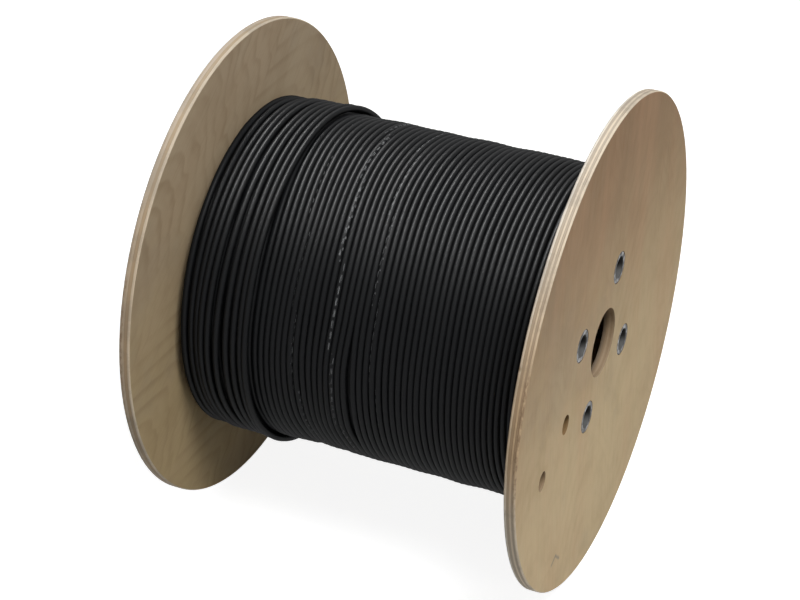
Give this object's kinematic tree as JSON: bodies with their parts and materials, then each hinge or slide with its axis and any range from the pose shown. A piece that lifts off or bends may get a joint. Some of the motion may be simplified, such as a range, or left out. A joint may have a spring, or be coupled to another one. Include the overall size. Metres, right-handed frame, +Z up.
{
  "type": "wooden cable drum",
  "caption": "Plywood cable drum on a cardboard core, clamped by tie rods in let-in steel cups and wound full of black single-core cable.",
  "frame": {"origin": "middle of the drum's axis, half way between the flanges", "axes": "+X along the drum's axis towards the flange with the two cable holes, +Z up as the drum lies on its rims"},
  "size_m": [0.321, 0.4, 0.3999],
  "materials": {
    "plywood": "bare sanded birch veneer",
    "cardboard": "matt, spiral wound",
    "cable_sheath": "matt black sheath",
    "zinc_steel": "dull zinc plate"
  },
  "bodies": {
    "root": {"near_flange": "plywood", "far_flange": "plywood", "core_tube": "cardboard", "cable_winding": "cable_sheath", "tie_rod_1": "zinc_steel", "tie_rod_2": "zinc_steel", "tie_rod_3": "zinc_steel", "tie_rod_4": "zinc_steel", "near_cup_1": "zinc_steel", "near_cup_2": "zinc_steel", "near_cup_3": "zinc_steel", "near_cup_4": "zinc_steel", "far_cup_1": "zinc_steel", "far_cup_2": "zinc_steel", "far_cup_3": "zinc_steel", "far_cup_4": "zinc_steel", "near_nut_1": "zinc_steel", "near_nut_2": "zinc_steel", "near_nut_3": "zinc_steel", "near_nut_4": "zinc_steel", "far_nut_1": "zinc_steel", "far_nut_2": "zinc_steel", "far_nut_3": "zinc_steel", "far_nut_4": "zinc_steel"}
  },
  "joints": []
}
